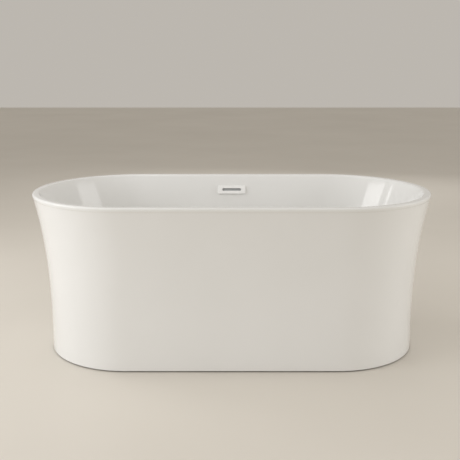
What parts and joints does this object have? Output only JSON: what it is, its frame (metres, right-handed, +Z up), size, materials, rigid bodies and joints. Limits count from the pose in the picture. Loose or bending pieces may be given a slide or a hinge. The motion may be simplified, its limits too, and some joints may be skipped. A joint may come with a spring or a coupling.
{
  "type": "freestanding bathtub",
  "caption": "Oval double-ended freestanding bathtub with a flared outer skirt, slotted overflow, click-clack drain, trap and levelling feet on a steel frame.",
  "frame": {"origin": "on the floor at the middle of the footprint, the feet pads' undersides at z = 0", "axes": "+X along the bath to its right end seen from the front, +Y to the back with the overflow, +Z up"},
  "size_m": [1.5, 0.75, 0.6],
  "materials": {
    "acrylic": "glossy sanitary acrylic",
    "white_plastic": "glossy moulded",
    "bond": "cured resin",
    "plywood": "raw ply sealed with resin",
    "steel": "galvanised folded strip",
    "zinc": "zinc plated",
    "grey_plastic": "moulded",
    "pipe_plastic": "moulded polypropylene",
    "rubber": "matt",
    "chrome": "polished"
  },
  "bodies": {
    "tub": {"basin_shell": "acrylic", "outer_skirt": "acrylic", "rim_bond_strip": "bond", "base_board": "plywood", "leg_bar_left": "steel", "leg_bar_right": "steel", "cross_bar_left": "steel", "cross_bar_right": "steel", "rail_front": "steel", "rail_back": "steel", "skirt_bracket_front_left": "zinc", "skirt_bracket_front_right": "zinc", "skirt_bracket_back_left": "zinc", "skirt_bracket_back_right": "zinc", "drain_flange": "chrome", "drain_gasket": "rubber", "drain_washer": "rubber", "waste_body": "pipe_plastic", "drain_cartridge": "grey_plastic", "plug_spring": "zinc", "overflow_plate": "grey_plastic", "overflow_screw_left": "zinc", "overflow_screw_right": "zinc", "overflow_gasket": "rubber", "overflow_channel": "grey_plastic", "overflow_hose": "pipe_plastic", "hose_nut_top": "pipe_plastic", "hose_nut_bottom": "pipe_plastic", "trap_union_nut": "pipe_plastic", "trap_lid": "pipe_plastic", "trap_cup": "pipe_plastic", "outlet_pipe": "pipe_plastic", "outlet_nut": "pipe_plastic"},
    "plug": {"plug_cap": "white_plastic", "plug_seal": "rubber", "plug_spindle": "chrome"},
    "overflow_cover": {"overflow_cover": "white_plastic"},
    "foot_front_left": {"foot_pad_front_left": "grey_plastic", "foot_stud_front_left": "zinc"},
    "foot_nuts_front_left": {"adjuster_nut_front_left": "zinc", "lock_nut_front_left": "zinc"},
    "foot_front_right": {"foot_pad_front_right": "grey_plastic", "foot_stud_front_right": "zinc"},
    "foot_nuts_front_right": {"adjuster_nut_front_right": "zinc", "lock_nut_front_right": "zinc"},
    "foot_back_left": {"foot_pad_back_left": "grey_plastic", "foot_stud_back_left": "zinc"},
    "foot_nuts_back_left": {"adjuster_nut_back_left": "zinc", "lock_nut_back_left": "zinc"},
    "foot_back_right": {"foot_pad_back_right": "grey_plastic", "foot_stud_back_right": "zinc"},
    "foot_nuts_back_right": {"adjuster_nut_back_right": "zinc", "lock_nut_back_right": "zinc"},
    "foot_centre": {"foot_pad_centre": "grey_plastic", "foot_stud_centre": "zinc"},
    "foot_nuts_centre": {"adjuster_nut_centre": "zinc", "lock_nut_centre": "zinc"}
  },
  "joints": [
    {"name": "plug_lift", "type": "slide", "parent": "tub", "child": "plug", "axis": [0, 0, 1], "range_m": [0, 0.01], "deforming": ["plug_spring"]},
    {"name": "overflow_cover_pull", "type": "slide", "parent": "tub", "child": "overflow_cover", "axis": [0, -0.9744, 0.225], "range_m": [0, 0.03]},
    {"name": "foot_slide_front_left", "type": "slide", "parent": "tub", "child": "foot_front_left", "axis": [0, 0, -1], "range_m": [-0.003, 0.012]},
    {"name": "nut_turn_front_left", "type": "hinge", "parent": "tub", "child": "foot_nuts_front_left", "pos_m": [-0.3777, -0.2438, 0.1174], "axis": [0, 0, 1], "range_deg": [-620, 2472]},
    {"name": "foot_slide_front_right", "type": "slide", "parent": "tub", "child": "foot_front_right", "axis": [0, 0, -1], "range_m": [-0.003, 0.012]},
    {"name": "nut_turn_front_right", "type": "hinge", "parent": "tub", "child": "foot_nuts_front_right", "pos_m": [0.3777, -0.2438, 0.1174], "axis": [0, 0, 1], "range_deg": [-620, 2472]},
    {"name": "foot_slide_back_left", "type": "slide", "parent": "tub", "child": "foot_back_left", "axis": [0, 0, -1], "range_m": [-0.003, 0.012]},
    {"name": "nut_turn_back_left", "type": "hinge", "parent": "tub", "child": "foot_nuts_back_left", "pos_m": [-0.3777, 0.2438, 0.1174], "axis": [0, 0, 1], "range_deg": [-620, 2472]},
    {"name": "foot_slide_back_right", "type": "slide", "parent": "tub", "child": "foot_back_right", "axis": [0, 0, -1], "range_m": [-0.003, 0.012]},
    {"name": "nut_turn_back_right", "type": "hinge", "parent": "tub", "child": "foot_nuts_back_right", "pos_m": [0.3777, 0.2438, 0.1174], "axis": [0, 0, 1], "range_deg": [-620, 2472]},
    {"name": "foot_slide_centre", "type": "slide", "parent": "tub", "child": "foot_centre", "axis": [0, 0, -1], "range_m": [-0.003, 0.012]},
    {"name": "nut_turn_centre", "type": "hinge", "parent": "tub", "child": "foot_nuts_centre", "pos_m": [-0.135, 0, 0.1174], "axis": [0, 0, 1], "range_deg": [-620, 2472]}
  ],
  "couplings": [
    {"joint": "nut_turn_front_left", "follows": "foot_slide_front_left", "rad_per_m": 3590.4},
    {"joint": "nut_turn_front_right", "follows": "foot_slide_front_right", "rad_per_m": 3590.4},
    {"joint": "nut_turn_back_left", "follows": "foot_slide_back_left", "rad_per_m": 3590.4},
    {"joint": "nut_turn_back_right", "follows": "foot_slide_back_right", "rad_per_m": 3590.4},
    {"joint": "nut_turn_centre", "follows": "foot_slide_centre", "rad_per_m": 3590.4}
  ]
}
